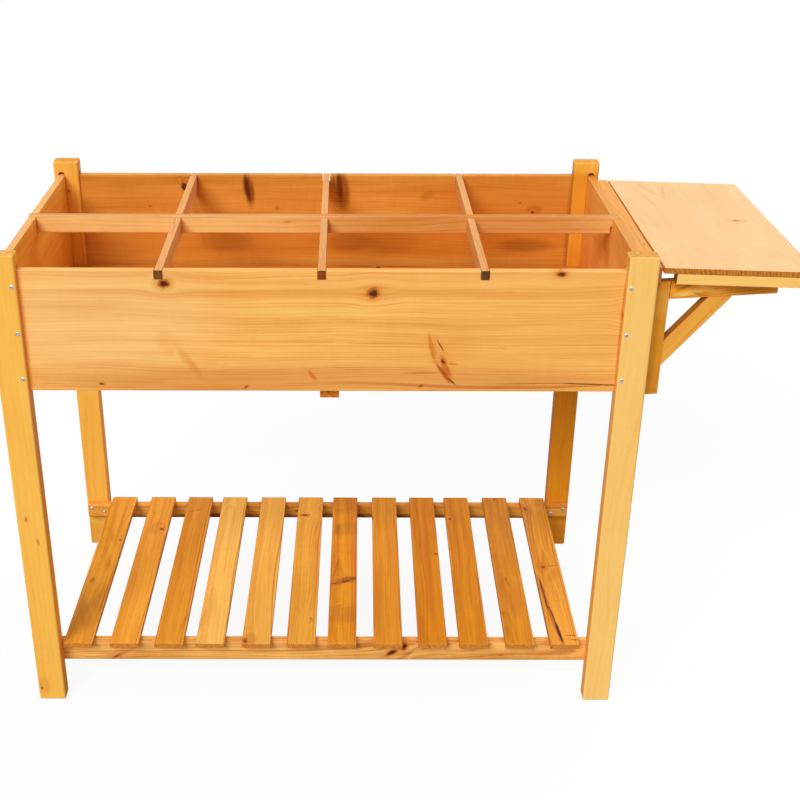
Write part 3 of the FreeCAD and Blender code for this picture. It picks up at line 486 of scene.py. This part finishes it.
# Side table: one pale 9 mm leaf with its grain along the hinge, so its front edge is dark end
# grain, and a batten screwed under each end of it. It droops a little on its hinges.
droop = math.radians(1.8)
leaf_out = (math.cos(droop), 0, -math.sin(droop))
leaf_up = (math.sin(droop), 0, math.cos(droop))
fir("table_leaf", back, leaf_up, (243, 193, 130), (232, 172, 101), (150, 40), 5, (0.02, 0.03),
    contrast=0.22, blotch=0.4, end=(206, 124, 32), gloss=0.36, side=(226, 140, 50),
    knots=[(13, -56, 3, 4, 0, 0.55)],
    patches=[(11, -58, 8, 16, 0, (212, 160, 88), 0.6), (168, 52, 44, 3, 14, (222, 164, 100), 0.5),
             (164, 30, 50, 3, -12, (222, 164, 100), 0.5), (120, 66, 60, 2.4, 8, (224, 168, 104), 0.4),
             (0, -112.2, 600, 0.8, 0, (206, 128, 48), 0.8), (-140, -64, 30, 20, 0, (246, 178, 110), 0.4),
             # The dark line along the hinge edge is painted shade in the gap by the hinge strip.
             (60, 20, 70, 30, 0, (250, 196, 124), 0.4), (0, 112.4, 600, 1, 0, (206, 120, 44), 0.6)])
for end in ("front", "back"):
    fir(f"leaf_batten_{end}", leaf_out, front if end == "front" else back, (255, 204, 113), (246, 180, 85),
        (12, 40), 5, (0.01, 0.02), contrast=0.4, end=(150, 88, 30))


# Swing brackets: post, arm and diagonal brace of 28 x 16 mm fir, glued edge to edge, swung out
# under the side table. The arm is a knotty offcut with greenish swirls in its grain.
for end, turn, face in (("front", 8.2, -1), ("back", -8.2, 1)):
    yaw = math.radians(turn)
    outward = (math.cos(yaw), math.sin(yaw), 0)
    facing = (-face * math.sin(yaw), face * math.cos(yaw), 0)
    fir(f"{end}_bracket_post", up, facing, (234, 156, 42), (212, 124, 26), (20, 30), 5, (0.01, 0.02),
        contrast=0.5, blotch=0.6, streaks=0.6, side=(200, 112, 26),
        patches=[(60, 0, 24, 30, 0, (250, 190, 84), 0.5)])
    fir(f"{end}_bracket_arm", outward, facing, (248, 162, 46), (186, 104, 18), (6, 9), 4, (0.04, 0.08),
        contrast=0.8, streaks=0.5, blotch=0.6, end=(112, 66, 18),
        patches=[(-56, -5, 24, 4, 8, (255, 214, 110), 0.9), (-26, 0, 18, 4, -22, (250, 200, 96), 0.8),
                 (-60, 5, 16, 2.4, 20, (150, 92, 18), 0.7), (-38, -8, 14, 2, -18, (160, 100, 22), 0.6),
                 (-8, -6, 12, 3, 14, (244, 190, 90), 0.6), (48, 0, 44, 16, 0, (160, 96, 20), 0.6),
                 # The dark strip along one long edge, the top one on the front arm, is painted shade under
                 # the side table.
                 (0, 12, 90, 3, 0, (140, 80, 18), 0.7)])
    lift = math.radians(47.3)
    brace = (math.cos(lift) * math.cos(yaw), math.cos(lift) * math.sin(yaw), math.sin(lift))
    fir(f"{end}_bracket_brace", brace, facing, (244, 174, 70), (220, 140, 38), (14, 30), 5, (0.01, 0.02),
        contrast=0.4, end=(206, 130, 46), side=(152, 90, 18), streaks=0.5, blotch=0.5)


# Butt hinges: pressed steel plates with three knuckles round a pin, zinc plated, two under the
# side table and two behind each swing bracket.
def zinc(name, tone, rough):
    finish, place = blank_finish(name)
    at = place.vector("MULTIPLY", (1000, 1000, 1000))
    spangle = at.noise((2.2, 2.2, 2.2), 3)
    scratch = at.noise((9, 0.25, 9), 2)
    dull = at.noise((12, 12, 12), 2).rise(0.5, 0.75)
    dark_zinc = tint(tone[0] * 0.72, tone[1] * 0.73, tone[2] * 0.76)
    colour = (spangle * 0.5 + dull * 0.3).between(tint(*tone), dark_zinc)
    worn = rough + (spangle - 0.5) * 0.2 + dull * 0.14 + (scratch - 0.5) * 0.1
    height = scratch * 0.4 + spangle * 0.5
    relief = height.node("ShaderNodeBump", {}, {"Strength": 0.25, "Distance": 0.0001, "Height": height})
    skin = colour.node("ShaderNodeBsdfPrincipled", {},
                       {"Base Color": colour, "Metallic": 1, "Roughness": worn, "Normal": relief})
    skin.node("ShaderNodeOutputMaterial", {}, {"Surface": skin})
    return finish


hinge_zinc = zinc("hinge_zinc", (206, 208, 210), 0.34)
for node in ("table_hinge_fixed_plates", "table_hinge_leaf_plates", "table_hinge_pins",
             "bracket_hinge_fixed_plates", "bracket_hinge_pins",
             "front_bracket_hinge_plates", "back_bracket_hinge_plates"):
    wear(node, hinge_zinc)


# Screws: zinc plated pan heads with a cross recess. Six show on the front legs and two at each
# end of the back rail, and the rest hold the tub, shelf, hinges and side table together.
screw_zinc = zinc("screw_zinc", (226, 229, 234), 0.28)
head_rings = 9
head_spokes = 40
recess_half_width = 0.17
recess_reach = 0.62
recess_depth = 0.75
dome_fall = 0.82
point_start = 0.82
point_width = 0.12
rim_share = 0.95
crease = math.radians(38)


def screw_places(node):
    """Where each screw of a node sits: under its head, its way in, its length and its radii."""
    mesh = bmesh.new()
    mesh.from_mesh(nodes[node].data)
    bmesh.ops.remove_doubles(mesh, verts=mesh.verts, dist=1e-6)
    left_over = set(mesh.verts)
    while left_over:
        heap, found = [left_over.pop()], []
        while heap:
            corner = heap.pop()
            found.append(corner.co.copy())
            for edge in corner.link_edges:
                other = edge.other_vert(corner)
                if other in left_over:
                    left_over.remove(other)
                    heap.append(other)
        spots = np.array(found)
        middle = (spots.min(0) + spots.max(0)) / 2
        way = Vector(np.linalg.eigh(np.cov((spots - spots.mean(0)).T))[1][:, -1])
        reach = (spots - middle) @ np.array(way)
        width = np.linalg.norm(spots - middle - np.outer(reach, way), axis=1)
        head_side = reach[np.argmax(width)]
        if head_side > 0:
            way, reach = -way, -reach
        head = width > width.max() * rim_share
        yield (Vector(middle) + way * reach[head].max(), way, reach.max() - reach[head].max(),
               width.max(), reach[head].max() - reach.min(), width[~head].max())
    mesh.free()


def turned_screw(mesh, seat, way, length, head_radius, head_height, shank_radius):
    """One screw: a domed head with a cross recess, then a shank with a point."""
    turn = (-way).to_track_quat("Z", "Y").to_matrix()
    angles = [2 * math.pi * spoke / head_spokes for spoke in range(head_spokes)]

    def corner(x, y, high):
        return mesh.verts.new(seat + turn @ Vector((x, y, high)))

    rows = [[corner(0, 0, head_height * (1 - recess_depth))] * head_spokes]
    for ring in range(1, head_rings + 1):
        share = ring / head_rings
        row = []
        for angle in angles:
            x, y = share * math.cos(angle), share * math.sin(angle)
            high = head_height * math.sqrt(1 - dome_fall * share ** 4)
            if min(abs(x), abs(y)) < recess_half_width and max(abs(x), abs(y)) < recess_reach:
                high -= head_height * recess_depth
            row.append(corner(x * head_radius, y * head_radius, high))
        rows.append(row)
    for radius, level in ((head_radius, 0), (shank_radius, 0), (shank_radius, -length * point_start),
                          (shank_radius * point_width, -length)):
        rows.append([corner(radius * math.cos(angle), radius * math.sin(angle), level) for angle in angles])
    for inner, outer in zip(rows, rows[1:]):
        for spoke in range(head_spokes):
            following = (spoke + 1) % head_spokes
            ring = [inner[spoke], outer[spoke], outer[following]]
            if inner[spoke] is not inner[following]:
                ring.append(inner[following])
            mesh.faces.new(ring)
    mesh.faces.new(rows[-1][::-1])


def drive_screws(name, node, body):
    """One piece with every screw of a node, which it replaces."""
    mesh = bmesh.new()
    for place in screw_places(node):
        turned_screw(mesh, *place)
    bmesh.ops.recalc_face_normals(mesh, faces=mesh.faces)
    data = bpy.data.meshes.new(name)
    mesh.to_mesh(data)
    mesh.free()
    data.materials.append(screw_zinc)
    data.shade_smooth()
    data.set_sharp_from_angle(angle=crease)
    piece = bpy.data.objects.new(name, data)
    bpy.context.scene.collection.objects.link(piece)
    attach(piece, body)
    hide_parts(node)


for node, body in (("panel_screws", "planter"), ("rail_screws", "planter"), ("slat_screws", "planter"),
                   ("floor_screws", "planter"), ("cleat_and_strip_screws", "planter"),
                   ("hinge_screws_frame", "planter"), ("hinge_screws_leaf", "leaf"),
                   ("leaf_batten_screws", "leaf"), ("front_bracket_screws", "front bracket"),
                   ("back_bracket_screws", "back bracket")):
    drive_screws("driven_" + node, node, body)


# Studio: a pale floor that keeps a soft shadow, an even white room, and three soft lamps: the
# main one high on the front left, a weaker one above and one behind for the far side.
floor_size = 24
floor_mesh = bmesh.new()
bmesh.ops.create_grid(floor_mesh, x_segments=2, y_segments=2, size=floor_size)
floor_data = bpy.data.meshes.new("studio_floor")
floor_mesh.to_mesh(floor_data)
floor_mesh.free()
studio_floor = bpy.data.objects.new("studio_floor", floor_data)
bpy.context.scene.collection.objects.link(studio_floor)
floor_finish, floor_place = blank_finish("studio_floor")
seen = floor_place.node("ShaderNodeLightPath", {}, {})
floor_grey, floor_white, floor_glow = (0.5, 0.5, 0.5, 1), (0.97, 0.97, 0.97, 1), 0.92
paint = seen.node("ShaderNodeBsdfDiffuse", {}, {"Color": seen.between(floor_grey, floor_white)})
glow = seen.node("ShaderNodeEmission", {}, {"Color": (1, 1, 1, 1), "Strength": 1})
floor_skin = seen.node("ShaderNodeMixShader", {}, {0: seen * floor_glow, 1: paint, 2: glow})
floor_skin.node("ShaderNodeOutputMaterial", {}, {"Surface": floor_skin})
floor_data.materials.append(floor_finish)

room = bpy.data.worlds.new("studio_room")
room.use_nodes = True
room.node_tree.nodes.clear()
camera_ray = Reading(room.node_tree.nodes.new("ShaderNodeLightPath").outputs["Is Camera Ray"])
light_path = camera_ray.socket.node
glossy_ray = Reading(light_path.outputs["Is Glossy Ray"])
clear_ray = Reading(light_path.outputs["Is Transmission Ray"])
shown = camera_ray.reckon("MAXIMUM", camera_ray, glossy_ray.reckon("MAXIMUM", glossy_ray, clear_ray))
room_fill = 0.34
fill = shown.node("ShaderNodeBackground", {}, {"Color": (1, 1, 1, 1), "Strength": room_fill})
white = shown.node("ShaderNodeBackground", {}, {"Color": (1, 1, 1, 1), "Strength": 1})
walls = shown.node("ShaderNodeMixShader", {}, {0: shown, 1: fill, 2: white})
walls.node("ShaderNodeOutputWorld", {}, {"Surface": walls})
bpy.context.scene.world = room


def soft_lamp(name, towards, spread, strength):
    data = bpy.data.lights.new(name, "SUN")
    data.angle = math.radians(spread)
    data.energy = strength
    lamp = bpy.data.objects.new(name, data)
    lamp.rotation_euler = Vector(towards).to_track_quat("-Z", "Y").to_euler()
    bpy.context.scene.collection.objects.link(lamp)


soft_lamp("front_lamp", (0.34, 0.7, -0.62), 30, 2.26)
soft_lamp("top_lamp", (0, -0.1, -1), 60, 0.36)
soft_lamp("back_lamp", (-0.5, -0.7, -0.6), 40, 0.95)


# Camera: stands 1.42 m high and 1.97 m from the planter's middle, looking down by 26.4 degrees,
# with the frame shifted a little so that the side table runs out of it on the right.
photo_side = 800
focal_pixels = 1265.74
centre_column = 343.89
camera_stand = (-0.08555, -1.96509, 1.41915)
pitch, yaw, roll = math.radians(26.3896), math.radians(-0.0225), math.radians(0.124)
look = Vector((math.sin(yaw) * math.cos(pitch), math.cos(yaw) * math.cos(pitch), -math.sin(pitch)))
level = Vector((math.cos(yaw), -math.sin(yaw), 0))
upright = level.cross(look)
rolled = math.cos(roll) * level + math.sin(roll) * upright
raised = math.cos(roll) * upright - math.sin(roll) * level
camera_data = bpy.data.cameras.new("camera")
camera_data.sensor_width = 36
camera_data.lens = focal_pixels / photo_side * camera_data.sensor_width
camera_data.shift_x = 0.5 - centre_column / photo_side
camera = bpy.data.objects.new("camera", camera_data)
camera_turn = Matrix((rolled, raised, -look)).transposed().to_4x4()
camera.matrix_world = Matrix.Translation(camera_stand) @ camera_turn
bpy.context.scene.collection.objects.link(camera)
bpy.context.scene.camera = camera
bpy.context.scene.view_settings.view_transform = "Standard"
